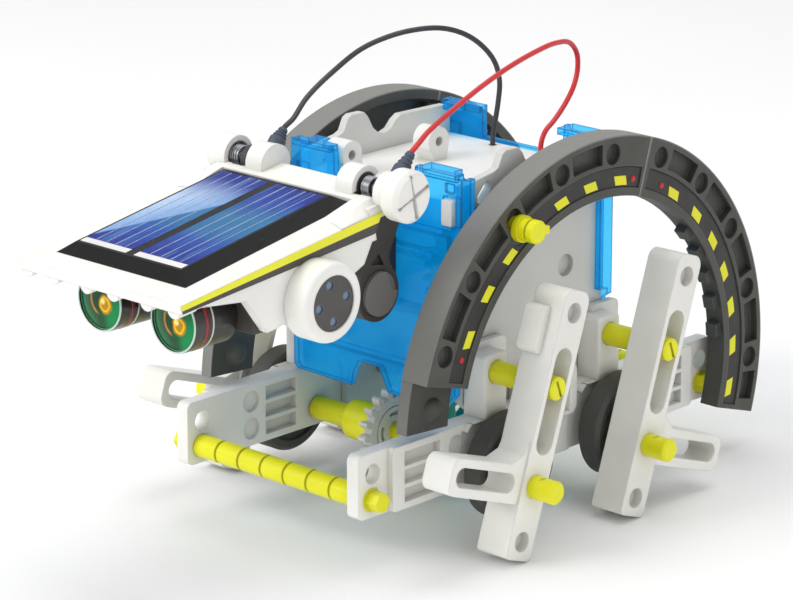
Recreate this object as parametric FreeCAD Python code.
import FreeCAD, Part
import os, math
from FreeCAD import Vector

# Solar walking robot kit: four legs on two crank axles, a gearbox between side
# rails, a head with a solar panel, and half-ring guards beside the body.
# Frame of the dimensions: X sideways (mid-plane X = 0, right is +X), front towards
# -Y, Z up, Y = 0 midway between the drive axles. Pieces are drawn on the right
# and mirrored to the left. "end" is -1 for the front and 1 for the rear.

os.makedirs("parts", exist_ok=True)

# Moves the solids so that the feet stand on Z = 0 and the origin lies on the
# ground under the centre of the outline.
SHIFT = Vector(0, 19.745, -0.31)
X_AXIS, Y_AXIS, Z_AXIS = Vector(1, 0, 0), Vector(0, 1, 0), Vector(0, 0, 1)
ENDS = (("front", -1), ("rear", 1))

# ---------------------------------------------------------------- shared dimensions
AXLE_Y, AXLE_Z = 19.1, 16.8        # drive axles at Y = -AXLE_Y and +AXLE_Y
AXLE_R = 2.0
PIVOT_Z = 37.3                     # fixed pivot pins above the axles
CRANK_R = 7.0                      # crank pin offset from its axle
PIN_D = 5.2
PIN_R = PIN_D / 2

RAIL_IN = 24.4                     # inner face of the side rails
RAIL_OUT = 27.7                    # outer face of the thin end plates
RAIL_MID = 29.2                    # outer face of the thick middle
POST_OUT = 30.6                    # outer face of the posts
RAIL_END = 59.7                    # half length of the rails
RAIL_Z0, RAIL_Z1 = 12.6, 27.1
BAR_Y, BAR_Z = 55.6, 16.6          # cross bars

WHEEL_R = 12.0
WHEEL_X0, WHEEL_X1 = 31.3, 37.5
LEG_X0, LEG_X1 = 39.4, 48.0

BOX_IN, BOX_OUT = 22.2, 24.2       # side plates of the gearbox
COVER_Y, COVER_T = 25.3, 1.5       # outer face and thickness of the covers
HINGE_Y, HINGE_Z = -46.3, 82.0
HUB_Y, HUB_Z = -44.4, 58.3
SHELL_W = 24.8                     # half width of the head
SCREW_R = 1.0

# ---------------------------------------------------------------- helpers
def box(x0, x1, y0, y1, z0, z1):
    return Part.makeBox(x1 - x0, y1 - y0, z1 - z0, Vector(x0, y0, z0))


def cyl_x(radius, x0, x1, y, z):
    return Part.makeCylinder(radius, x1 - x0, Vector(x0, y, z), X_AXIS)


def cyl_y(radius, y0, y1, x, z):
    return Part.makeCylinder(radius, y1 - y0, Vector(x, y0, z), Y_AXIS)


def cyl_z(radius, z0, z1, x, y):
    return Part.makeCylinder(radius, z1 - z0, Vector(x, y, z0), Z_AXIS)


def polygon_face(points):
    return Part.Face(Part.makePolygon(points + [points[0]]))


def prism_x(outline, x0, x1):
    # outline of (y, z)
    return polygon_face([Vector(x0, y, z) for y, z in outline]).extrude(Vector(x1 - x0, 0, 0))


def prism_y(outline, y0, y1):
    # outline of (x, z)
    return polygon_face([Vector(x, y0, z) for x, z in outline]).extrude(Vector(0, y1 - y0, 0))


def fuse(first, *rest):
    joined = first.fuse(list(rest)) if rest else first
    return joined.removeSplitter()


def cut(shape, *tools):
    return shape.cut(list(tools))


def mirror(shape):
    return shape.mirror(Vector(0, 0, 0), X_AXIS)


def edges_along(shape, axis, test):
    # straight edges parallel to the axis
    found = []
    for edge in shape.Edges:
        if len(edge.Vertexes) != 2:
            continue
        along = edge.Vertexes[1].Point - edge.Vertexes[0].Point
        if along.Length < 1e-6 or abs(abs(along.normalize().dot(axis)) - 1) > 1e-5:
            continue
        if edge.Curve.TypeId != "Part::GeomLine":
            continue
        if test is None or test(edge.CenterOfMass):
            found.append(edge)
    return found


def soften(shape, radius, axis=None, test=None):
    # rounds the edges whose centre passes the test, only straight ones if an axis is given
    if axis is not None:
        edges = edges_along(shape, axis, test)
    else:
        edges = [edge for edge in shape.Edges if test(edge.CenterOfMass)]
    if not edges:
        return shape
    # a fillet that fails or gives a bad solid leaves the shape sharp
    try:
        rounded = shape.makeFillet(radius, edges)
        if rounded.isValid() and rounded.Volume > 0:
            return rounded
    except Exception:
        pass
    return shape


def around(y, z, radius, angle):
    # point on a circle in the YZ plane, degrees from +Y towards +Z
    turn = math.radians(angle)
    return y + radius * math.cos(turn), z + radius * math.sin(turn)


def slot_x(start, end, width, x0, x1):
    # racetrack between two (y, z) points
    a, b = Vector(x0, *start), Vector(x0, *end)
    along = (b - a).normalize() * (width / 2.0)
    across = Vector(0, -along.z, along.y)
    edges = [Part.makeLine(a + across, b + across),
             Part.Arc(b + across, b + along, b - across).toShape(),
             Part.makeLine(b - across, a - across),
             Part.Arc(a - across, a - along, a + across).toShape()]
    return Part.Face(Part.Wire(edges)).extrude(Vector(x1 - x0, 0, 0))


def sector(y, z, inner, outer, angle0, angle1, x0, x1):
    # annular sector in the YZ plane
    def at(radius, angle):
        return Vector(x0, *around(y, z, radius, angle))
    middle = (angle0 + angle1) / 2.0
    edges = [Part.Arc(at(outer, angle0), at(outer, middle), at(outer, angle1)).toShape(),
             Part.makeLine(at(outer, angle1), at(inner, angle1)),
             Part.Arc(at(inner, angle1), at(inner, middle), at(inner, angle0)).toShape(),
             Part.makeLine(at(inner, angle0), at(outer, angle0))]
    return Part.Face(Part.Wire(edges)).extrude(Vector(x1 - x0, 0, 0))


def turned_bar(y, z, half_a, half_b, angle, x0, x1):
    # rectangle centred on (y, z), turned in the YZ plane
    cos, sin = math.cos(math.radians(angle)), math.sin(math.radians(angle))
    corners = ((-half_a, -half_b), (half_a, -half_b), (half_a, half_b), (-half_a, half_b))
    return prism_x([(y + a * cos - b * sin, z + a * sin + b * cos) for a, b in corners], x0, x1)


def chamfer_ends(shape, size, stations):
    # bevels the circular edges that lie at the X stations
    edges = [edge for edge in shape.Edges if edge.Curve.TypeId == "Part::GeomCircle"
             and any(abs(edge.CenterOfMass.x - x) < 1e-6 for x in stations)]
    return shape.makeChamfer(size, edges)


def bevel_cyl_x(radius, x0, x1, y, z, size, both=True):
    # the +X end is always bevelled
    return chamfer_ends(cyl_x(radius, x0, x1, y, z), size, (x0, x1) if both else (x1,))


def save(name, *shapes):
    solids = [solid.translated(SHIFT) for shape in shapes for solid in shape.Solids]
    piece = solids[0] if len(solids) == 1 else Part.makeCompound(solids)
    piece.exportStep("parts/" + name + ".step")


def save_sides(name, shape):
    save(name + "_right", shape)
    save(name + "_left", mirror(shape))


def save_pair(name, shape):
    save(name, shape, mirror(shape))


# ---------------------------------------------------------------- guard ring frame
RING_Y, RING_Z = 9.7, 26.3         # centre of the half rings


def on_ring(angle, radius):
    return around(RING_Y, RING_Z, radius, angle)


# connector that joins each guard to the gearbox
CONN_Y, CONN_Z = on_ring(121.6, 51.7)
CONN_R = 2.55
CONN_X0 = BOX_OUT - 1.4            # bottom of its socket in the side plate

# ---------------------------------------------------------------- side rails
POCKET_H, POCKET_PITCH, POCKET_DEPTH = 3.2, 4.1, 1.9


def rail_end_blocks(end):
    # post, thin tab and raised shoulder at one axle
    y = end * AXLE_Y
    post = box(RAIL_IN, POST_OUT, y - 3.7, y + 3.7, RAIL_Z0 + 6, 41.6)
    post = soften(post, 1.3, X_AXIS, lambda c: c.z > 40)
    post = soften(post, 0.8, Z_AXIS, lambda c: c.x > 30)
    tab = box(RAIL_IN, RAIL_IN + 1.7, y - 1.0, y + 8.2, RAIL_Z1 - 3, 43.2)
    tab = soften(tab, 1.6, X_AXIS, lambda c: c.z > 40)
    shoulder = box(RAIL_IN, POST_OUT, y - 9.5, y + 9.5, RAIL_Z0 + 2.4, RAIL_Z1)
    return [post, tab, soften(shoulder, 2.2, X_AXIS)]


def rail_end_cuts(end):
    cuts = []
    # three rows of pockets, those in the outer face nearer the rail end
    for row in range(3):
        z0 = RAIL_Z0 + 1.5 + row * POCKET_PITCH
        z1 = z0 + POCKET_H
        y0, y1 = sorted((end * 35.3, end * 25.6))
        cuts.append(box(RAIL_IN - 1, RAIL_IN + POCKET_DEPTH, y0, y1, z0, z1))
        y0, y1 = end * 46.8, end * 35.6
        cuts.append(prism_x([(y0, z0), (y1, z0), (y1, z1), (y0, z1)],
                            RAIL_MID - POCKET_DEPTH, RAIL_MID + 1))
    # round dimples in both faces
    for z in (16.6, 23.0):
        cuts.append(cyl_x(2.5, RAIL_IN - 1, RAIL_IN + 0.9, end * 39.8, z))
        cuts.append(cyl_x(2.2, RAIL_MID - 0.9, RAIL_MID + 1, end * 30.6, z))
    # through hole in the end plate, cross bar hole, axle bore, pivot pin bore
    y = end * AXLE_Y
    cuts.append(cyl_x(2.25, RAIL_IN - 1, RAIL_OUT + 1, end * 55.2, 22.3))
    cuts.append(cyl_x(PIN_R + 0.02, RAIL_IN - 1, RAIL_OUT + 1, end * BAR_Y, BAR_Z))
    cuts.append(cyl_x(AXLE_R + 0.05, RAIL_IN - 1, POST_OUT + 1, y, AXLE_Z))
    cuts.append(cyl_x(PIN_R + 0.05, RAIL_IN + 1.15, POST_OUT + 1, y, PIVOT_Z))
    # shallow round relief behind the crank wheel, below the rail top
    relief = cyl_x(WHEEL_R + 0.8, RAIL_MID - 0.6, POST_OUT + 1, y, AXLE_Z)
    cuts.append(relief.cut(box(20, 40, -70, 70, RAIL_Z1 - 0.001, 60)))
    return cuts


def rail():
    plate = box(RAIL_IN, RAIL_OUT, -RAIL_END, RAIL_END, RAIL_Z0, RAIL_Z1)
    plate = soften(plate, 1.6, X_AXIS)
    middle = box(RAIL_IN, RAIL_MID, -50.6, 50.6, RAIL_Z0, RAIL_Z1)
    middle = soften(middle, 1.0, X_AXIS)
    # saddle block between the two wheels
    saddle = box(RAIL_IN, POST_OUT, -8.0, 8.0, RAIL_Z1 - 5.5, 33.0)
    saddle = soften(saddle, 1.6, X_AXIS)
    body = fuse(plate, middle, *rail_end_blocks(-1), *rail_end_blocks(1), saddle)
    recess = box(POST_OUT - 2.6, POST_OUT + 1, -5.6, 5.6, 22.4, 30.9)
    return cut(body, *rail_end_cuts(-1), *rail_end_cuts(1), recess)


save_sides("rail", rail())

# ---------------------------------------------------------------- cross bars
BAR_GROOVES = 6


def cross_bar(end, tip):
    # round bar with ring grooves and a hexagonal tip at each end
    y = end * BAR_Y
    hexagon = [around(y, BAR_Z, 2.2, 60 * k) for k in range(6)]
    bar = fuse(cyl_x(PIN_R, -RAIL_OUT, RAIL_OUT, y, BAR_Z),
               prism_x(hexagon, RAIL_OUT, RAIL_OUT + tip),
               prism_x(hexagon, -RAIL_OUT - tip, -RAIL_OUT))
    grooves = []
    for k in range(BAR_GROOVES):
        x = -RAIL_IN + 2 * RAIL_IN * (k + 1) / (BAR_GROOVES + 1.0)
        groove = cyl_x(PIN_R + 1, x - 0.35, x + 0.35, y, BAR_Z)
        grooves.append(groove.cut(cyl_x(PIN_R - 0.45, x - 1, x + 1, y, BAR_Z)))
    return cut(bar, *grooves)


save("front_bar", cross_bar(-1, 3.4))
save("rear_bar", cross_bar(1, 2.6))

# ---------------------------------------------------------------- pivot pins
def pivot_pin(end):
    y = end * AXLE_Y
    pin = bevel_cyl_x(PIN_R, RAIL_IN + 1.2, LEG_X1 + 0.6, y, PIVOT_Z, 0.5, both=False)
    # screwdriver slot in the free end
    return cut(pin, turned_bar(y, PIVOT_Z, 0.35, 2.0, 20, LEG_X1 - 0.1, LEG_X1 + 2))


for name, end in ENDS:
    save_sides("pivot_pin_" + name, pivot_pin(end))

# ---------------------------------------------------------------- legs
LEG_W = 8.2
LEG_SLOT_W = PIN_D + 0.2
LEG_FOOT, LEG_TOP = -16.4, 43.2    # along the leg from the crank pin
ARM_REACH = 27.6
CRANK_PIN_END = 54.5
# the leg leans so that its slot passes over the pivot pin
LEAN = math.atan2(CRANK_R, PIVOT_Z - AXLE_Z)
LEAN_Y, LEAN_Z = math.sin(LEAN), math.cos(LEAN)


def leg(end):
    # the crank pin stands forward of its axle; the arm points away from the other axle
    arm_dir = -end
    half = LEG_W / 2

    def point(up, forward):
        # up along the leg and forward across it, from the crank pin
        return (end * AXLE_Y - CRANK_R + up * LEAN_Y - forward * LEAN_Z,
                AXLE_Z + up * LEAN_Z + forward * LEAN_Y)

    def slab(outline, x0, x1):
        return prism_x([point(*q) for q in outline], x0, x1)

    body = slab([(LEG_FOOT, -half), (LEG_TOP, -half), (LEG_TOP, half), (LEG_FOOT, half)],
                LEG_X0, LEG_X1)
    body = soften(body, 2.6, X_AXIS, lambda c: c.z > 50)
    body = soften(body, 1.3, X_AXIS, lambda c: c.z < 6)
    reach = arm_dir * ARM_REACH
    arm = slab([(-4.4, 0), (4.3, 0), (4.0, reach), (-4.2, reach)], LEG_X0 + 0.5, LEG_X1 - 0.5)
    tip_y, tip_z = point(0, reach)
    arm = soften(arm, 2.4, X_AXIS, lambda c: math.hypot(c.y - tip_y, c.z - tip_z) < 6)
    # gusset where the arm meets the leg
    gusset = slab([(4.2, arm_dir * 3.9), (10.5, arm_dir * 3.9), (6.4, arm_dir * 5.2),
                   (4.2, arm_dir * 8.5)], LEG_X0 + 0.5, LEG_X1 - 0.5)
    extras = [arm, gusset]
    if end < 0:
        # lug on the forward edge of the front legs
        lug = slab([(27.5, half - 0.5), (39.0, half - 0.5), (38.2, half + 2.6),
                    (28.8, half + 2.6)], LEG_X0 + 0.2, LEG_X0 + 5.2)
        extras.append(soften(lug, 1.1, X_AXIS))
    body = fuse(body, *extras)
    # pivot slot, crank pin hole, blind holes near both ends, slot along the arm
    cuts = [slot_x(point(9.7, 0), point(27.9, 0), LEG_SLOT_W, LEG_X0 - 1, LEG_X1 + 1),
            cyl_x(PIN_R, LEG_X0 - 1, LEG_X1 + 1, *point(0, 0))]
    for up in (-12.2, 38.3):
        cuts.append(cyl_x(2.25, LEG_X1 - 2.2, LEG_X1 + 1, *point(up, 0)))
        cuts.append(cyl_x(2.25, LEG_X0 - 1, LEG_X0 + 2.2, *point(up, 0)))
    cuts.append(slot_x(point(0, arm_dir * 8.6), point(0, arm_dir * 23.6), 4.4,
                       LEG_X0 - 1, LEG_X1 + 1))
    body = cut(body, *cuts)
    # small round on the long edges of both faces
    return soften(body, 0.7, Vector(0, LEAN_Y, LEAN_Z),
                  lambda c: abs(c.x - LEG_X1) < 1e-3 or abs(c.x - LEG_X0) < 1e-3)


def crank_pin(end):
    y = end * AXLE_Y - CRANK_R
    pin = bevel_cyl_x(PIN_R, WHEEL_X1 + 0.4, CRANK_PIN_END, y, AXLE_Z, 0.5)
    # flat near the free end
    return cut(pin, box(CRANK_PIN_END - 4.2, CRANK_PIN_END - 1.6, y - 3, y + 3,
                        AXLE_Z + PIN_R - 0.35, AXLE_Z + 5))


for name, end in ENDS:
    save_sides(name + "_leg", leg(end))
    save_sides(name + "_crank_pin", crank_pin(end))

# ---------------------------------------------------------------- wheels and axles
WHEEL_HUB_R = 4.4
DISH_R, DISH_DEPTH = 9.6, 0.9
AXLE_END = WHEEL_X1 - 1.2


def crank_wheel(end):
    y = end * AXLE_Y
    wheel = bevel_cyl_x(WHEEL_R, WHEEL_X0, WHEEL_X1, y, AXLE_Z, 0.8)
    # both faces dished, then the seat for the hub
    wheel = cut(wheel, cyl_x(DISH_R, WHEEL_X1 - DISH_DEPTH, WHEEL_X1 + 1, y, AXLE_Z),
                cyl_x(DISH_R, WHEEL_X0 - 1, WHEEL_X0 + DISH_DEPTH, y, AXLE_Z))
    hub_seat = cyl_x(WHEEL_HUB_R, WHEEL_X0 - 1, WHEEL_X1 + 1, y, AXLE_Z)
    wheel = cut(wheel, hub_seat)
    # eccentric boss with a round hole in line with the crank pin
    boss = cyl_x(3.5, WHEEL_X1 - 1.2, WHEEL_X1, y - CRANK_R, AXLE_Z).cut(hub_seat)
    wheel = fuse(wheel, boss)
    return cut(wheel, cyl_x(1.6, WHEEL_X1 - 3.5, WHEEL_X1 + 1, y - CRANK_R, AXLE_Z))


def wheel_hub(end):
    y = end * AXLE_Y
    hub = bevel_cyl_x(WHEEL_HUB_R, WHEEL_X0, WHEEL_X1, y, AXLE_Z, 0.3)
    return cut(hub, cyl_x(AXLE_R, WHEEL_X0 - 1, AXLE_END, y, AXLE_Z))


def axle(end):
    y = end * AXLE_Y
    rod = cyl_x(AXLE_R, -AXLE_END, AXLE_END, y, AXLE_Z)
    # one thick and two thin sleeves: radius, x0, x1
    sleeves = ((4.6, -12.0, -2.1), (2.7, -23.9, -12.0), (2.7, 4.0, 23.9))
    return fuse(rod, *[cyl_x(radius, x0, x1, y, AXLE_Z) for radius, x0, x1 in sleeves])


for name, end in ENDS:
    wheel, hub = crank_wheel(end), wheel_hub(end)
    save(name + "_axle", axle(end))
    save(name + "_crank_wheels", wheel, mirror(wheel), hub, mirror(hub))

# ---------------------------------------------------------------- gear train
# Motor pinion > first gear > second gear > central gear > both axle gears.
# Each reduction gear is a large wheel with a small pinion.
MODULE = 1.0
PRESSURE_ANGLE = math.radians(20)
ADDENDUM, DEDENDUM, BACKLASH = 0.85, 1.15, 0.17
AXLE_TEETH, CENTRAL_TEETH = 18, 22
SECOND_TEETH, SECOND_PINION_TEETH = 24, 10
FIRST_TEETH, FIRST_PINION_TEETH = 28, 10
MOTOR_TEETH = 8
FINAL_X0, FINAL_X1 = -1.9, 0.3     # plane of the central and axle gears
SECOND_X0, SECOND_X1 = 5.0, 8.6
FIRST_X0, FIRST_X1 = 10.2, 13.8
SHAFT_R = 1.5
GEAR_BORE = SHAFT_R + 0.05


def pitch_radius(teeth):
    return MODULE * teeth / 2


def involute(angle):
    return math.tan(angle) - angle


def gear_x(teeth, x0, x1, y, z, phase, bore=None):
    # spur gear with involute flanks; a tooth is centred at the angle "phase"
    pitch = pitch_radius(teeth)
    base = pitch * math.cos(PRESSURE_ANGLE)
    tip, root = pitch + ADDENDUM * MODULE, pitch - DEDENDUM * MODULE
    base_half = math.pi / (2 * teeth) - BACKLASH / (2 * pitch) + involute(PRESSURE_ANGLE)

    def half_angle(radius):
        if radius <= base:
            depth = (base - radius) / max(base - root, 1e-6)
            return base_half * (1 - 0.22 * depth)
        return base_half - involute(math.acos(base / radius))

    radii = [root] + ([base] if base > root + 0.05 else [])
    low = max(base, root)
    radii += [low + (tip - low) * k / 4.0 for k in (1, 2, 3, 4)]
    flanks = [(radius, -1) for radius in radii] + [(radius, 1) for radius in reversed(radii)]
    outline = []
    for k in range(teeth):
        centre = math.radians(phase) + 2 * math.pi * k / teeth
        for radius, side in flanks:
            angle = centre + side * half_angle(radius)
            outline.append((y + radius * math.cos(angle), z + radius * math.sin(angle)))
    gear = prism_x(outline, x0, x1)
    if bore:
        gear = gear.cut(cyl_x(bore, x0 - 1, x1 + 1, y, z))
    return gear


def mesh_phase(phase, teeth, other_teeth, direction):
    # phase of the other gear, which lies in the given direction, so that the teeth mesh
    offset = (phase - direction) % (360.0 / teeth)
    return direction + 180.0 - offset * teeth / other_teeth + 180.0 / other_teeth


# the central gear lies above and between the axle gears and meshes with both
CENTRAL_Z = AXLE_Z + math.sqrt(
    (pitch_radius(AXLE_TEETH) + pitch_radius(CENTRAL_TEETH)) ** 2 - AXLE_Y ** 2)
CENTRAL_PHASE = 7.0
SECOND_Y = 0.0
SECOND_Z = CENTRAL_Z + pitch_radius(CENTRAL_TEETH) + pitch_radius(SECOND_PINION_TEETH)
SECOND_PHASE = 3.0
FIRST_DIR = 110.0                  # from the second gear to the first
FIRST_Y, FIRST_Z = around(
    SECOND_Y, SECOND_Z, pitch_radius(SECOND_TEETH) + pitch_radius(FIRST_PINION_TEETH), FIRST_DIR)
FIRST_PHASE = 0.0
MOTOR_DIR = 40.0                   # from the first gear to the motor
MOTOR_Y, MOTOR_Z = around(
    FIRST_Y, FIRST_Z, pitch_radius(FIRST_TEETH) + pitch_radius(MOTOR_TEETH), MOTOR_DIR)
# (y, z) of the fixed shafts
SHAFTS = ((0, CENTRAL_Z), (SECOND_Y, SECOND_Z), (FIRST_Y, FIRST_Z))


def axle_gear(end):
    y = end * AXLE_Y
    direction = math.degrees(math.atan2(AXLE_Z - CENTRAL_Z, y))
    phase = mesh_phase(CENTRAL_PHASE, CENTRAL_TEETH, AXLE_TEETH, direction)
    gear = gear_x(AXLE_TEETH, FINAL_X0, FINAL_X1, y, AXLE_Z, phase, AXLE_R)
    # ring groove and arc slots on the right face
    groove = cyl_x(5.9, FINAL_X1 - 0.35, FINAL_X1 + 1, y, AXLE_Z)
    gear = cut(gear, groove.cut(cyl_x(5.6, FINAL_X1 - 1, FINAL_X1 + 2, y, AXLE_Z)))
    return cut(gear, *[sector(y, AXLE_Z, 3.7, 4.5, angle, angle + 46, FINAL_X1 - 0.8, FINAL_X1 + 1)
                       for angle in (-23, 67, 157, 247)])


def central_gear():
    gear = gear_x(CENTRAL_TEETH, FINAL_X0, FINAL_X1, 0, CENTRAL_Z, CENTRAL_PHASE, GEAR_BORE)
    return cut(gear, *[sector(0, CENTRAL_Z, 5.2, 8.4, angle, angle + 70, FINAL_X0 - 1, FINAL_X1 + 1)
                       for angle in (10, 100, 190, 280)])


def second_gear():
    phase = mesh_phase(CENTRAL_PHASE, CENTRAL_TEETH, SECOND_PINION_TEETH, 90.0)
    pinion = gear_x(SECOND_PINION_TEETH, FINAL_X0, SECOND_X0, SECOND_Y, SECOND_Z, phase, GEAR_BORE)
    wheel = gear_x(SECOND_TEETH, SECOND_X0, SECOND_X1, SECOND_Y, SECOND_Z, SECOND_PHASE, GEAR_BORE)
    return fuse(pinion, wheel)


def first_gear():
    phase = mesh_phase(SECOND_PHASE, SECOND_TEETH, FIRST_PINION_TEETH, FIRST_DIR)
    pinion = gear_x(FIRST_PINION_TEETH, SECOND_X0, FIRST_X0, FIRST_Y, FIRST_Z, phase, GEAR_BORE)
    wheel = gear_x(FIRST_TEETH, FIRST_X0, FIRST_X1, FIRST_Y, FIRST_Z, FIRST_PHASE, GEAR_BORE)
    dish = cyl_x(12.2, FIRST_X1 - 0.9, FIRST_X1 + 1, FIRST_Y, FIRST_Z)
    dish = dish.cut(cyl_x(4.6, FIRST_X1 - 2, FIRST_X1 + 2, FIRST_Y, FIRST_Z))
    return fuse(pinion, cut(wheel, dish))


def motor_pinion():
    phase = mesh_phase(FIRST_PHASE, FIRST_TEETH, MOTOR_TEETH, MOTOR_DIR)
    x0 = FIRST_X0 - 0.4
    gear = gear_x(MOTOR_TEETH, x0, FIRST_X1 + 0.4, MOTOR_Y, MOTOR_Z, phase)
    return fuse(gear, cyl_x(1.0, 4.4, x0, MOTOR_Y, MOTOR_Z))


for name, end in ENDS:
    save(name + "_axle_gear", axle_gear(end))
save("central_gear", central_gear())
save("second_reduction_gear", second_gear())
save("first_reduction_gear", first_gear())
save("motor_pinion", motor_pinion())
# fixed shafts, held in blind sockets of both side plates
save("gear_shafts", *[cyl_x(SHAFT_R, -BOX_IN - 1.2, BOX_IN + 1.2, y, z) for y, z in SHAFTS])

# ---------------------------------------------------------------- motor
MOTOR_R = 8.0


def motor_flats(half_height):
    # keeps what lies between the two flats
    return box(-30, 30, MOTOR_Y - 9, MOTOR_Y + 9, MOTOR_Z - half_height, MOTOR_Z + half_height)


def motor_can():
    can = cyl_x(MOTOR_R, -18.0, 2.6, MOTOR_Y, MOTOR_Z).common(motor_flats(6.6))
    can = fuse(can, cyl_x(2.6, 2.6, 4.0, MOTOR_Y, MOTOR_Z))
    return cut(can, cyl_x(1.06, -2.0, 6, MOTOR_Y, MOTOR_Z))


def motor_cap():
    cap = cyl_x(7.6, -20.6, -18.0, MOTOR_Y, MOTOR_Z).common(motor_flats(6.2))
    lugs = [box(-21.9, -20.6, MOTOR_Y - 1.2 + offset, MOTOR_Y + 1.2 + offset,
                MOTOR_Z + 2.0, MOTOR_Z + 2.6) for offset in (-4.2, 4.2)]
    return fuse(cap, *lugs)


save("drive_motor", motor_can(), motor_cap())

# ---------------------------------------------------------------- gearbox side plates
# (y, z) around the plate: front edge, top edge to the rear, then round the bottom
SIDE_PLATE = [
    (-23.4, 46.0), (-23.4, 78.4), (-13.2, 80.0), (-11.8, 80.6), (-10.4, 83.4), (-9.2, 84.0),
    (-5.2, 83.9), (-4.0, 82.6), (-2.4, 79.8), (-0.6, 78.3), (1.4, 77.8), (3.4, 78.4),
    (5.2, 80.2), (7.0, 81.2), (22.0, 80.8), (23.4, 79.8),
    (23.4, 46.0), (23.4, 29.6), (21.0, 27.4), (12.5, 27.4), (11.0, 25.9), (11.0, 13.8),
    (-11.0, 13.8), (-11.0, 25.9), (-12.5, 27.4), (-21.0, 27.4), (-23.4, 29.6)]


def side_plate():
    plate = prism_x(SIDE_PLATE, BOX_IN, BOX_OUT)
    # ledge inside that carries the top deck
    ledge = prism_x([(-23.4, 69.6), (-23.4, 72.85), (23.4, 72.85), (23.4, 69.6)],
                    BOX_IN - 1.5, BOX_IN)
    cuts = [cyl_x(CONN_R, CONN_X0, BOX_OUT + 1, 11.0, 53.8),
            slot_x((-17.4, 74.9), (-15.4, 77.0), 2.6, BOX_IN - 3, BOX_OUT + 1),
            cyl_x(CONN_R, CONN_X0, BOX_OUT + 1, CONN_Y, CONN_Z)]
    cuts += [cyl_x(SHAFT_R, BOX_IN - 1, BOX_IN + 1.2, y, z) for y, z in SHAFTS]
    return cut(fuse(plate, ledge), *cuts)


save_sides("side_plate", side_plate())

# ---------------------------------------------------------------- top deck
DECK_HALF_W = BOX_IN - 0.05
DECK_Z = 72.9
BOSS_Z = 78.6                      # cross holes of the post and the lug
POST_Y, LUG_Y = 2.1, -20.2


def motor_cradle():
    cradle = box(-14.0, -6.0, MOTOR_Y - 10.3, MOTOR_Y + 10.3, MOTOR_Z - 3.0, DECK_Z)
    radius = MOTOR_R + 0.06
    cradle = cradle.cut(cyl_x(radius, -30, 30, MOTOR_Y, MOTOR_Z).common(motor_flats(6.66)))
    # open downwards
    return cradle.cut(box(-30, 30, MOTOR_Y - radius, MOTOR_Y + radius, MOTOR_Z - 4, MOTOR_Z))


def top_deck():
    deck = box(-DECK_HALF_W, DECK_HALF_W, -22.6, 22.9, DECK_Z, DECK_Z + 1.3)
    front_wall = box(-20.0, 20.0, -22.6, -20.6, 68.0, DECK_Z)
    foot = prism_x([(-1.2, BOSS_Z), (5.4, BOSS_Z), (4.6, DECK_Z + 1), (0.6, DECK_Z + 1)],
                   -11.0, -6.0)
    post = fuse(cyl_x(3.3, -11.0, -6.0, POST_Y, BOSS_Z), foot)
    lug = cyl_x(3.2, -17.3, -11.7, LUG_Y, BOSS_Z)
    lug = lug.fuse(box(-17.3, -11.7, -22.6, -17.0, DECK_Z, BOSS_Z))
    deck = fuse(deck, front_wall, lug, motor_cradle(), post)
    # cross holes of lug and post, then the two wire holes
    return cut(deck, cyl_x(1.1, -19, -10, LUG_Y, BOSS_Z), cyl_x(1.1, -12, -4, POST_Y, BOSS_Z),
               cyl_z(0.9, DECK_Z - 1, DECK_Z + 3, -6.6, 20.9),
               cyl_z(0.9, DECK_Z - 1, DECK_Z + 3, 8.0, 20.8))


save("top_deck", top_deck())

# ---------------------------------------------------------------- gearbox covers
COVER_X = 25.7
COVER_TOP = 81.6
NECK_PLATE_Y = -COVER_Y - 3.0      # front face of the neck plate
# (x, z) of the screws
REAR_SCREWS = [(x, z) for x in (-17.5, 17.5) for z in (36.0, 64.0)]
NECK_SCREWS = [(x, z) for x in (-4.2, 4.2) for z in (50.6, 63.2)]
# rim tabs: x0, x1, y0
TOP_LIPS = ((12.8, 21.9, 20.8), (-21.9, -17.5, 20.8), (-17.5, -13.0, 23.5),
            (21.5, COVER_X - 1.0, 23.5), (-COVER_X + 1.0, -21.5, 23.5))


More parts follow.
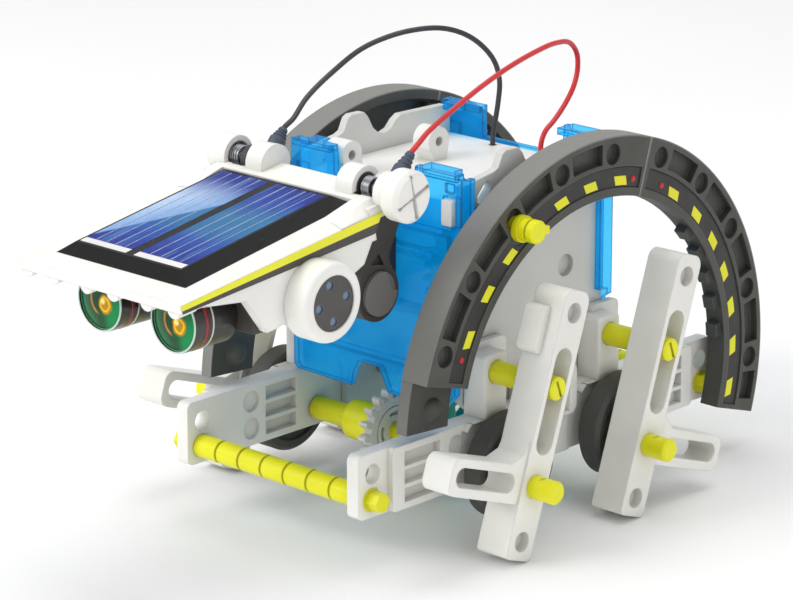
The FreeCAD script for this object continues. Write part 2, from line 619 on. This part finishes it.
def cover(end):
    # drawn at the rear; the front one is mirrored at the end
    y0, y1 = COVER_Y - COVER_T, COVER_Y
    left = 25.2 if end < 0 else 24.0
    # (x, z): left side up, top, right side down, then the bottom edge to the left
    plate = prism_y([
        (-COVER_X, 44.6), (-COVER_X, COVER_TOP - 1.2), (-COVER_X + 1.4, COVER_TOP),
        (COVER_X - 1.4, COVER_TOP), (COVER_X, COVER_TOP - 1.2), (COVER_X, 44.6),
        (24.0, 43.4), (24.0, 31.5), (20.5, 27.8), (6.9, 27.8), (3.9, 28.0), (1.9, 32.0),
        (1.2, 33.4), (-5.0, 33.4), (-6.7, 30.4), (-7.3, 27.3),
        (-left + 1.2, 27.6), (-left, 28.6), (-left, 43.4)], y0, y1)
    flanges = [box(x0, x1, 21.0, y1 - 0.2, 46.0, COVER_TOP - 1.4)
               for x0, x1 in ((BOX_OUT + 0.15, COVER_X), (-COVER_X, -BOX_OUT - 0.15))]
    lips = [box(x0, x1, lip_y, y1 + 0.9, COVER_TOP - 1.6, COVER_TOP)
            for x0, x1, lip_y in TOP_LIPS]
    # inner frame that slides between the side plates
    frame = box(-21.9, 21.9, 22.95, y0, 34.6, 68.0).cut(box(-20.4, 20.4, 20, 30, 36.1, 66.5))
    shape = fuse(plate, frame, *flanges, *lips)
    # wide opening at the top, then the small openings at the upper corners
    shape = cut(shape, prism_y([(-12.9, 90), (-12.2, 74.6), (11.8, 74.6), (12.7, 90)], 10, 40),
                box(20.4, 24.0, 10, 40, 69.6, 76.2), box(21.0, 23.4, 24.8, 40, 77.2, 79.2),
                box(-24.0, -20.4, 24.6, 40, 69.6, 76.2))
    if end < 0:
        shape = shape.mirror(Vector(0, 0, 0), Y_AXIS)
    return shape


def screw_y(x, z, head_y, direction, length):
    # pan head screw with a cross recess; the head points in the given Y direction
    top = head_y + direction * 1.1
    head = cyl_y(1.9, *sorted((head_y, top)), x, z)
    shank = cyl_y(SCREW_R, *sorted((head_y, head_y - direction * length)), x, z)
    y0, y1 = sorted((top - direction * 0.5, top + direction))
    return cut(fuse(head, shank), box(x - 1.3, x + 1.3, y0, y1, z - 0.22, z + 0.22),
               box(x - 0.22, x + 0.22, y0, y1, z - 1.3, z + 1.3))


save("gearbox_front_cover",
     cut(cover(-1), *[cyl_y(SCREW_R, -30, -20, x, z) for x, z in NECK_SCREWS]))
save("gearbox_rear_cover",
     cut(cover(1), *[cyl_y(SCREW_R, 20, 30, x, z) for x, z in REAR_SCREWS]))
save("window_clip", soften(box(20.7, 23.7, -26.3, -23.5, 70.0, 75.8), 0.5, Y_AXIS))
save("case_screws", *[screw_y(x, z, COVER_Y, 1, 2.0) for x, z in REAR_SCREWS],
     *[screw_y(x, z, NECK_PLATE_Y, -1, 4.4) for x, z in NECK_SCREWS])

# ---------------------------------------------------------------- neck
ARM_X0, ARM_EYE_X, ARM_X1 = 16.0, 17.5, 19.2


def neck_bracket():
    plate = box(-6.4, 6.4, NECK_PLATE_Y, -COVER_Y, 48.2, 65.6)
    plate = soften(plate, 1.6, Y_AXIS)
    arms = [box(x0, x1, HUB_Y - 0.5, -COVER_Y - 2.0, HUB_Z - 3.6, HUB_Z + 2.0)
            for x0, x1 in ((-6.0, -2.8), (2.8, 6.0))]
    bracket = fuse(plate, cyl_x(4.6, -15.9, 15.9, HUB_Y, HUB_Z), *arms)
    # screw holes, room for the screw heads, sockets of the hub caps
    bracket = cut(bracket, *[cyl_y(SCREW_R, -32, -20, x, z) for x, z in NECK_SCREWS])
    bracket = cut(bracket, *[cyl_y(2.15, HUB_Y - 6, NECK_PLATE_Y, x, z) for x, z in NECK_SCREWS])
    return cut(bracket, cyl_x(2.0, 8, 17, HUB_Y, HUB_Z), cyl_x(2.0, -17, -8, HUB_Y, HUB_Z))


def neck_arm():
    # thick upright from the hub, thin eye that sits inside the hinge barrel; (y, z)
    upright = prism_x([(-48.6, 75.5), (-36.9, 74.7), (-38.3, 71.8), (-40.7, 66.9), (-41.1, 65.4),
                       (HUB_Y + 6.2, HUB_Z), (HUB_Y - 6.2, HUB_Z), (-49.6, 64.6), (-48.2, 70.0)],
                      ARM_X0, ARM_X1)
    blade = prism_x([(-48.6, 75.0), (HINGE_Y - 2.8, HINGE_Z), (HINGE_Y + 2.8, HINGE_Z),
                     (-36.9, 74.7), (-38.3, 71.8)], ARM_X0, ARM_EYE_X)
    arm = fuse(upright, blade, cyl_x(2.9, ARM_X0, ARM_EYE_X, HINGE_Y, HINGE_Z),
               cyl_x(6.3, ARM_X0, ARM_X1, HUB_Y, HUB_Z))
    arm = cut(arm, cyl_x(1.55, ARM_X0 - 1, ARM_EYE_X + 1, HINGE_Y, HINGE_Z),
              cyl_x(5.0, ARM_X1 - 1.4, ARM_X1 + 1, HUB_Y, HUB_Z),
              cyl_x(1.6, ARM_X0 - 1, ARM_X1 + 1, HUB_Y, HUB_Z))
    # triangular pocket above the hub
    return cut(arm, prism_x([(-46.6, 65.0), (-42.6, 64.2), (-44.2, 67.2)],
                            ARM_X1 - 1.0, ARM_X1 + 1))


def hub_cap():
    cap = fuse(cyl_x(4.9, 17.85, 20.2, HUB_Y, HUB_Z), cyl_x(1.6, 15.6, 17.85, HUB_Y, HUB_Z),
               cyl_x(2.0, 10.0, 15.6, HUB_Y, HUB_Z))
    # shallow facet on the upper rear of the cap
    facet = [(HUB_Y + 1.0, HUB_Z + 6), (HUB_Y + 7, HUB_Z + 6), (HUB_Y + 7, HUB_Z - 1),
             (HUB_Y + 3.4, HUB_Z + 0.5)]
    return cut(cap, prism_x(facet, 19.5, 21))


save("neck_bracket", neck_bracket())
save_pair("neck_arms", neck_arm())
save_pair("neck_hub_caps", hub_cap())

# ---------------------------------------------------------------- head shell
TILT = math.radians(9.4)           # forward slope of the solar panel
PANEL_W = 19.4                     # half width of the panel seat
PANEL_S0, PANEL_S1 = 6.4, 55.8     # panel from / to, measured from the hinge
PANEL_T = -1.1                     # panel face below the hinge axis
SEAT_T = PANEL_T - 1.3
LIP_S = 62.5                       # front lip
EYE_Y, EYE_Z, EYE_R = -70.1, 64.1, 8.6
EYE_STEM_R = EYE_R - 2.4
PIN_HINGE_R = 1.5
HINGE_PINS = ((13.2, 28.4), (-25.2, -10.2))   # x0, x1
PLUG_R = 1.9
# base and tip of the wire plugs in the hinge barrels
BLACK_PLUG = (Vector(-12.0, -44.4, 84.8), Vector(-12.0, -41.2, 88.5))
RED_PLUG = (Vector(24.6, -45.0, 84.2), Vector(24.6, -40.0, 89.3))
# ring sectors cleared for the neck arms: inner, outer, from, to
ARM_CLEARANCE = ((1.6, 6.2, -150, 19), (1.6, 4.6, -150, 34),
                 (1.6, 3.9, -172, 20), (6.0, 24.0, -128, 8))


def tilted(s, t):
    # (y, z) of s forward along the panel and t along its normal, from the hinge axis
    return (HINGE_Y - s * math.cos(TILT) - t * math.sin(TILT),
            HINGE_Z - s * math.sin(TILT) + t * math.cos(TILT))


def tilted_3d(x, s, t):
    return Vector(x, *tilted(s, t))


def tilted_box(x0, x1, s0, s1, t0, t1):
    return prism_x([tilted(s0, t0), tilted(s1, t0), tilted(s1, t1), tilted(s0, t1)], x0, x1)


def loft(sections):
    wires = [Part.makePolygon(points + [points[0]]) for points in sections]
    return Part.makeLoft(wires, True, True)


def panel_seat():
    return tilted_box(-PANEL_W, PANEL_W, PANEL_S0, PANEL_S1, SEAT_T, PANEL_T + 3)


def shell_skin():
    # the rim falls away from the panel edge to the side wall, which is deeper at
    # the rear than at the lip
    def outer(s, wall_top, wall_bottom):
        return [tilted_3d(x, s, t) for x, t in (
            (-PANEL_W, PANEL_T + 0.05), (PANEL_W, PANEL_T + 0.05), (SHELL_W, wall_top),
            (SHELL_W, wall_bottom), (-SHELL_W, wall_bottom), (-SHELL_W, wall_top))]

    def inner(s, top):
        half = SHELL_W - 1.8
        return [tilted_3d(x, s, t) for x, t in (
            (-half, top), (half, top), (half, -12), (-half, -12))]

    skin = loft([outer(6.0, -2.9, -8.6), outer(LIP_S, -1.25, -3.2)])
    skin = skin.cut(loft([inner(7.6, -4.4), inner(LIP_S - 3.2, -3.1)]))
    return skin.cut(panel_seat())


def hinge_barrels():
    # each barrel has its root on the rear strip
    barrels = []
    for x0, x1, root_top in ((-14.4, -9.4, PANEL_T + 0.05), (12.6, 17.6, PANEL_T + 0.05),
                             (-26.2, -20.9, -1.3), (23.4, 26.6, -1.3)):
        barrels.append(cyl_x(4.4, x0, x1, HINGE_Y, HINGE_Z))
        barrels.append(tilted_box(max(x0, -SHELL_W), min(x1, SHELL_W), 0, 7.2, -4.2, root_top))
    return barrels


def corner(side):
    # slope from the end of the strip down to the rim beside the panel
    def section(s, inner_t, outer_t, edge_t):
        points = [tilted_3d(side * PANEL_W, s, inner_t), tilted_3d(side * 22.6, s, outer_t),
                  tilted_3d(side * (SHELL_W - 0.02), s, edge_t),
                  tilted_3d(side * PANEL_W, s, -3.0)]
        return points if side > 0 else points[::-1]
    return fuse(loft([section(3.6, -0.2, -0.2, -2.8), section(7.2, -0.2, -0.2, -2.75)]),
                loft([section(7.2, -0.2, -0.2, -2.75), section(15.5, -1.12, -1.85, -2.5)]))


def side_flare():
    # side wall that carries the eye housing; (y, z)
    outline = [
        tilted(3.0, -2.7), tilted(5.9, -6.6), (-54.6, 68.0), (-58.0, 66.5), (-62.6, 61.2),
        (-65.5, 57.6), (-71.0, 56.2), (-78.6, 60.4), (-80.4, 59.8), (-83.4, 59.5), (-89.3, 67.5),
        tilted(LIP_S - 5.0, -3.6), tilted(LIP_S - 5.0, -3.0), tilted(5.9, -2.95)]
    return prism_x(outline, SHELL_W - 2.2, SHELL_W)


def lip_teeth():
    # round teeth under the front lip
    teeth = []
    for x in (-22.0, -14.0, -4.0, 4.0, 14.0, 22.0):
        start = tilted_3d(x, LIP_S - 5.4, -3.3)
        along = tilted_3d(x, LIP_S - 0.4, -3.0) - start
        teeth.append(Part.makeCylinder(1.85, along.Length, start, along))
    return teeth


def head_shell(skin, flare):
    strip = fuse(tilted_box(-22.6, 22.6, 3.6, 7.2, -3.4, -0.2),
                 tilted_box(-9.5, 12.7, -1.6, 3.7, -2.6, -0.2))
    shell = fuse(skin, strip, corner(1), corner(-1), flare, mirror(flare), *hinge_barrels())
    shell = fuse(shell, *lip_teeth())
    # panel seat, hinge pin bores and the wider ends of the bores
    shell = cut(shell, panel_seat(),
                cyl_x(PIN_HINGE_R, 13.2, 30, HINGE_Y, HINGE_Z),
                cyl_x(PIN_HINGE_R, -25.2, -10.2, HINGE_Y, HINGE_Z),
                cyl_x(3.15, 15.85, 18, HINGE_Y, HINGE_Z),
                cyl_x(3.15, -22.9, -20, HINGE_Y, HINGE_Z))
    for side in (-1, 1):
        x0, x1 = sorted((side * 15.85, side * 19.35))
        for limits in ARM_CLEARANCE:
            shell = shell.cut(sector(HINGE_Y, HINGE_Z, *limits, x0, x1))
    # sockets of the eye drums
    shell = cut(shell, cyl_x(EYE_STEM_R, -SHELL_W - 1, -SHELL_W + 3, EYE_Y, EYE_Z),
                cyl_x(EYE_STEM_R, SHELL_W - 3, SHELL_W + 1, EYE_Y, EYE_Z))
    # sockets of the wire plugs
    for base, tip in (BLACK_PLUG, RED_PLUG):
        shell = shell.Solids[0].cut(Part.makeCylinder(PLUG_R + 0.02, 8.0, base, tip - base))
    return shell


skin = shell_skin()
flare = side_flare()
save("head_shell", head_shell(skin, flare))

# ---------------------------------------------------------------- solar panel
FIELD_T = PANEL_T + 1.1            # raised field
CELL_S0, CELL_S1, PAD_S1 = 8.2, 48.8, 50.7
CELL_COLUMNS = ((-17.3, -3.5), (-1.1, 13.2))   # x0, x1


def solar_frame():
    # flat base and a raised field with sloping edges, cut out for cells and contacts
    def rectangle(x0, x1, s0, s1, t):
        return [tilted_3d(x0, s0, t), tilted_3d(x1, s0, t),
                tilted_3d(x1, s1, t), tilted_3d(x0, s1, t)]
    outer = (-PANEL_W + 0.05, PANEL_W - 0.05, PANEL_S0 + 0.05, PANEL_S1 - 0.05)
    frame = fuse(loft([rectangle(*outer, SEAT_T), rectangle(*outer, PANEL_T)]),
                 loft([rectangle(*outer, PANEL_T), rectangle(-17.9, 13.8, 7.4, 51.4, FIELD_T)]))
    for x0, x1 in CELL_COLUMNS:
        frame = frame.cut(tilted_box(x0, x1, CELL_S0, PAD_S1, FIELD_T - 0.5, FIELD_T + 1))
    return frame


save("solar_frame", solar_frame())
save("solar_cells", *[tilted_box(x0, x1, CELL_S0, CELL_S1, FIELD_T - 0.5, FIELD_T + 0.02)
                      for x0, x1 in CELL_COLUMNS])
save("cell_contacts", *[tilted_box(x0, x1, CELL_S1, PAD_S1, FIELD_T - 0.5, FIELD_T + 0.06)
                        for x0, x1 in CELL_COLUMNS])

# ---------------------------------------------------------------- stripes and eyes
BEZEL_X = SHELL_W + 5.3            # floor of the bezel
EYE_OUT = SHELL_W + 6.2


def side_stripe():
    # thin adhesive stripe on the side wall, cut round the eye
    outline = [tilted(3.5, -3.05), tilted(6.3, -6.98), tilted(LIP_S - 0.3, -3.1),
               tilted(LIP_S - 0.3, -1.35)]
    stripe = prism_x(outline, SHELL_W, SHELL_W + 0.18)
    return stripe.cut(cyl_x(EYE_R + 0.01, 20, 30, EYE_Y, EYE_Z))


def eye_housing():
    # round drum with a bezel
    drum = cyl_x(EYE_R, SHELL_W, EYE_OUT, EYE_Y, EYE_Z)
    drum = soften(drum, 1.3, None, lambda c: abs(c.x - EYE_OUT) < 0.01)
    drum = fuse(drum, cyl_x(EYE_STEM_R, SHELL_W - 2.2, SHELL_W, EYE_Y, EYE_Z))
    return cut(drum, cyl_x(6.0, BEZEL_X, SHELL_W + 8, EYE_Y, EYE_Z),
               cyl_x(1.5, SHELL_W - 3, SHELL_W + 8, EYE_Y, EYE_Z))


def eye_disc():
    # disc on a stem, with four dimples
    disc = fuse(cyl_x(5.95, BEZEL_X, SHELL_W + 5.9, EYE_Y, EYE_Z),
                cyl_x(1.5, SHELL_W + 1.0, BEZEL_X, EYE_Y, EYE_Z))
    return cut(disc, *[cyl_x(1.0, SHELL_W + 5.6, SHELL_W + 7, *around(EYE_Y, EYE_Z, 4.05, angle))
                       for angle in (103, 11, 187, 272)])


save_pair("side_stripes", side_stripe())
save_pair("eye_housings", eye_housing())
save_pair("eye_discs", eye_disc())

# ---------------------------------------------------------------- lens pair
LENS_X, LENS_Y, LENS_Z, LENS_R = 11.1, -97.0, 61.9, 6.7
LENS_BACK = LENS_Y + 12.0
BRACKET_BACK = LENS_Y + 14.6
GLASS_R = 6.2
GLASS_Y0, GLASS_Y1 = LENS_Y + 0.5, LENS_Y + 2.0
DOME_R = 20.0


def lens_bracket():
    # cross wall with a saddle over the barrels and a web between them
    bracket = fuse(
        box(-SHELL_W + 2.4, SHELL_W - 2.4, LENS_BACK, BRACKET_BACK, LENS_Z - 3.0, 68.4),
        box(-17.0, 17.0, LENS_Y + 4.4, BRACKET_BACK, LENS_Z + 5.2, LENS_Z + 7.6),
        box(-3.2, 3.2, LENS_Y + 4.4, BRACKET_BACK, LENS_Z - 2.0, LENS_Z + 6.0))
    bracket = cut(bracket, *[cyl_y(LENS_R + 0.02, LENS_Y - 1, LENS_BACK, x, LENS_Z)
                             for x in (-LENS_X, LENS_X)])
    # trimmed by the shell; loose scraps are left out
    bracket = bracket.cut(fuse(skin, flare, mirror(flare)))
    return max(bracket.Solids, key=lambda solid: solid.Volume)


def lens_barrel(x):
    barrel = cyl_y(LENS_R, LENS_Y, LENS_BACK, x, LENS_Z)
    barrel = soften(barrel, 0.5, None, lambda c: abs(c.y - LENS_Y) < 0.01)
    groove = cyl_y(LENS_R + 1, LENS_Y + 3.0, LENS_Y + 3.9, x, LENS_Z)
    groove = groove.cut(cyl_y(LENS_R - 0.4, LENS_Y, LENS_Y + 6, x, LENS_Z))
    return cut(barrel, cyl_y(GLASS_R, LENS_Y - 1, GLASS_Y1, x, LENS_Z), groove)


def lens_glass(x):
    # disc with a domed front
    dome_y = GLASS_Y0 + math.sqrt(DOME_R ** 2 - GLASS_R ** 2)
    dome = Part.makeSphere(DOME_R, Vector(x, dome_y, LENS_Z))
    dome = dome.common(cyl_y(GLASS_R, LENS_Y - 3, GLASS_Y0, x, LENS_Z))
    return fuse(cyl_y(GLASS_R, GLASS_Y0, GLASS_Y1, x, LENS_Z), dome)


save("lens_bracket", lens_bracket())
save("lens_barrels", lens_barrel(-LENS_X), lens_barrel(LENS_X))
save("lens_glasses", lens_glass(-LENS_X), lens_glass(LENS_X))

# ---------------------------------------------------------------- hinge
KNOB_X0, KNOB_X1 = 26.7, 31.5


def hinge_knob():
    knob = chamfer_ends(cyl_x(5.7, KNOB_X0, KNOB_X1, HINGE_Y, HINGE_Z), 1.1, (KNOB_X1,))
    knob = soften(knob, 0.4, None, lambda c: abs(c.x - KNOB_X0) < 0.01)
    # crossed slots; two opposite quadrants between them are sunk a little
    slots = [turned_bar(HINGE_Y, HINGE_Z, 4.9, 0.3, angle, KNOB_X1 - 0.9, 33)
             for angle in (21, 102)]
    quadrants = [sector(HINGE_Y, HINGE_Z, 0.6, 5.0, angle, angle + 73, KNOB_X1 - 0.35, 33)
                 for angle in (25, 205)]
    return cut(knob, cyl_x(PIN_HINGE_R, 20, 28.4, HINGE_Y, HINGE_Z), *slots, *quadrants)


def terminal(x0, x1):
    # sleeve that stands for the coil on the hinge pin
    sleeve = cyl_x(2.5, x0, x1, HINGE_Y, HINGE_Z)
    return sleeve.cut(cyl_x(PIN_HINGE_R, x0 - 1, x1 + 1, HINGE_Y, HINGE_Z))


save("hinge_shaft", *[cyl_x(PIN_HINGE_R, x0, x1, HINGE_Y, HINGE_Z) for x0, x1 in HINGE_PINS])
save("hinge_knob", hinge_knob())
save("spring_terminals", terminal(17.65, 20.6), terminal(-22.7, -18.4))

# ---------------------------------------------------------------- half-ring guards
RING_R0, RING_R1 = 45.0, 58.6
RING_X0, RING_XP, RING_X1 = 28.3, 31.2, 35.4   # rim inner face, plate inner face, outer face
TAB_X1 = 31.3
# angles from +Y towards +Z
RING_SEAM = 73.0
RING_FRONT, RING_TAB, RING_REAR = 165.0, 176.5, -17.5
REAR_SEAM = RING_SEAM - 0.25
PEG = on_ring(RING_SEAM - 5, 51.0)
BAND_R0, BAND_R1 = 47.1, 51.4


def ring_part(inner, outer, angle0, angle1, x0, x1):
    return sector(RING_Y, RING_Z, inner, outer, angle0, angle1, x0, x1)


def guard_pocket(angle0, angle1):
    return ring_part(52.6, 57.3, angle0, angle1, RING_X1 - 1.9, RING_X1 + 1)


def guard_quarter(start, stop, dimples, extra_parts, extra_cut):
    # plate with a deep outer rim and a lip along the inner edge
    body = fuse(ring_part(RING_R0, RING_R1, start, stop, RING_XP, RING_X1),
                ring_part(RING_R1 - 2.4, RING_R1, start, stop, RING_X0, RING_X1),
                ring_part(RING_R0, RING_R0 + 1.0, start, stop, RING_XP - 0.8, RING_X1 - 0.6),
                *extra_parts)
    cuts = [cyl_x(2.45, RING_X1 - 1.5, RING_X1 + 1, *on_ring(angle, 54.6)) for angle in dimples]
    # a pocket between each two dimples
    cuts += [guard_pocket(angle + 3.7, angle + 14.3) for angle in dimples[:-1]]
    # shallow channel for the adhesive band
    cuts.append(ring_part(BAND_R0 - 0.2, BAND_R1 + 0.2, start + 1.2, stop - 1.2,
                          RING_X1 - 0.5, RING_X1 + 1))
    return cut(body, *cuts, extra_cut)


def front_guard():
    tongue_r0, tongue_r1 = RING_R0 + 2.0, RING_R1 - 3.4
    parts = [
        # end tab
        ring_part(RING_R0 + 0.4, RING_R1 - 0.2, RING_FRONT - 2, RING_TAB, RING_X0, TAB_X1),
        # boss that reaches the gearbox wall
        cyl_x(3.3, BOX_OUT, RING_XP, CONN_Y, CONN_Z),
        # tongue under the rear quarter, its root and its peg
        ring_part(tongue_r0, tongue_r1, RING_SEAM - 8, RING_SEAM + 3, RING_XP - 2.6, RING_XP - 0.05),
        ring_part(tongue_r0, tongue_r1, RING_SEAM + 0.4, RING_SEAM + 3, RING_XP - 0.2, RING_XP),
        cyl_x(1.6, RING_XP - 1, RING_XP + 1.6, *PEG)]
    hole = cyl_x(CONN_R, BOX_OUT - 1, RING_X1 + 2, CONN_Y, CONN_Z)
    guard = guard_quarter(RING_SEAM, RING_FRONT, (86, 104, 122, 140, 158), parts, hole)
    # small domes on both faces of the end tab
    dome_y, dome_z = on_ring(171.5, 51.0)
    return fuse(guard, *[Part.makeSphere(3.0, Vector(x, dome_y, dome_z))
                         for x in (TAB_X1 - 2.1, RING_X0 + 2.1)])


def rear_guard():
    # five teeth on the inner edge
    teeth = []
    for k in range(5):
        angle = 4 + 9.2 * k
        teeth.append(ring_part(RING_R0 - 1.5, RING_R0 + 0.6, angle, angle + 4.2,
                               RING_XP, RING_X1 - 1.2))
    socket = cyl_x(1.65, RING_XP - 1, RING_XP + 1.7, *PEG)
    guard = guard_quarter(RING_REAR, REAR_SEAM, (-4, 14, 32, 50, 68), teeth, socket)
    # shorter pocket before the first dimple
    return cut(guard, guard_pocket(-14.6, -7.7))


def guard_band(start, stop):
    return ring_part(BAND_R0, BAND_R1, start + 1.5, stop - 1.5, RING_X1 - 0.5, RING_X1 - 0.3)


def guard_connector():
    body = fuse(cyl_x(CONN_R, CONN_X0, RING_X1, CONN_Y, CONN_Z),
                cyl_x(3.0, RING_X1, RING_X1 + 1.5, CONN_Y, CONN_Z),
                bevel_cyl_x(2.6, RING_X1 + 1.5, 41.0, CONN_Y, CONN_Z, 0.4, both=False))
    groove = cyl_x(4, 38.6, 39.1, CONN_Y, CONN_Z).cut(cyl_x(2.15, 36, 42, CONN_Y, CONN_Z))
    # small wing at the free end
    wing = prism_x([(CONN_Y + 1.2, CONN_Z - 0.8), (CONN_Y + 3.9, CONN_Z - 1.1),
                    (CONN_Y + 3.9, CONN_Z + 0.7), (CONN_Y + 1.2, CONN_Z + 1.2)], 39.2, 40.5)
    return fuse(cut(body, groove), wing)


save_sides("front_guard", front_guard())
save_sides("rear_guard", rear_guard())
# the front band leaves room round the connector
front_band = guard_band(RING_SEAM, RING_FRONT).cut(
    cyl_x(4.0, RING_X1 - 3, RING_X1 + 1, CONN_Y, CONN_Z))
rear_band = guard_band(RING_REAR, REAR_SEAM)
save("guard_bands", front_band, rear_band, mirror(front_band), mirror(rear_band))
save_pair("guard_connectors", guard_connector())

# ---------------------------------------------------------------- wires
WIRE_R = 0.6
# (x, y, z) along each wire, from behind its plug to its hole in the top deck
BLACK_ROUTE = [
    (-12.6, -37.7, 90.0), (-14.0, -32.2, 93.3), (-15.9, -21.6, 97.3), (-13.9, -15.0, 101.4),
    (-11.7, -8.8, 103.5), (-9.5, -2.5, 104.4), (-7.6, 4.3, 104.0), (-6.2, 10.0, 102.1),
    (-5.3, 15.1, 98.8), (-4.9, 19.3, 94.3), (-5.3, 21.6, 89.3), (-6.1, 22.1, 84.2),
    (-6.5, 21.5, 79.4), (-6.6, 20.9, 76.4), (-6.6, 20.9, 73.3)]
RED_ROUTE = [
    (23.8, -36.8, 90.7), (22.0, -32.0, 91.9), (17.8, -18.3, 94.3), (14.8, -7.2, 96.2),
    (12.1, 4.7, 98.0), (9.4, 16.9, 99.1), (7.2, 26.6, 99.2), (5.7, 33.1, 97.9),
    (4.9, 36.6, 94.6), (4.8, 37.0, 91.0), (5.1, 35.4, 87.4), (5.9, 31.4, 83.9),
    (6.9, 26.6, 81.2), (7.8, 22.4, 79.4), (8.0, 20.9, 77.0), (8.0, 20.8, 73.3)]


def plug(base, tip):
    # straight first half, tapered second half
    half = (tip - base) * 0.5
    return fuse(Part.makeCylinder(PLUG_R, half.Length, base, half),
                Part.makeCone(PLUG_R, 0.85, half.Length, base + half, half))


def wire(base, tip, route):
    # starts just beyond the plug tip
    start = tip + (tip - base).normalize() * 0.32
    curve = Part.BSplineCurve()
    curve.interpolate([start] + [Vector(*point) for point in route])
    direction = curve.tangent(curve.FirstParameter)[0]
    profile = Part.Wire([Part.Circle(start, direction, WIRE_R).toShape()])
    return Part.Wire([curve.toShape()]).makePipeShell([profile], True, True)


save("wire_plugs", plug(*BLACK_PLUG), plug(*RED_PLUG))
save("wire_black", wire(*BLACK_PLUG, BLACK_ROUTE))
save("wire_red", wire(*RED_PLUG, RED_ROUTE))
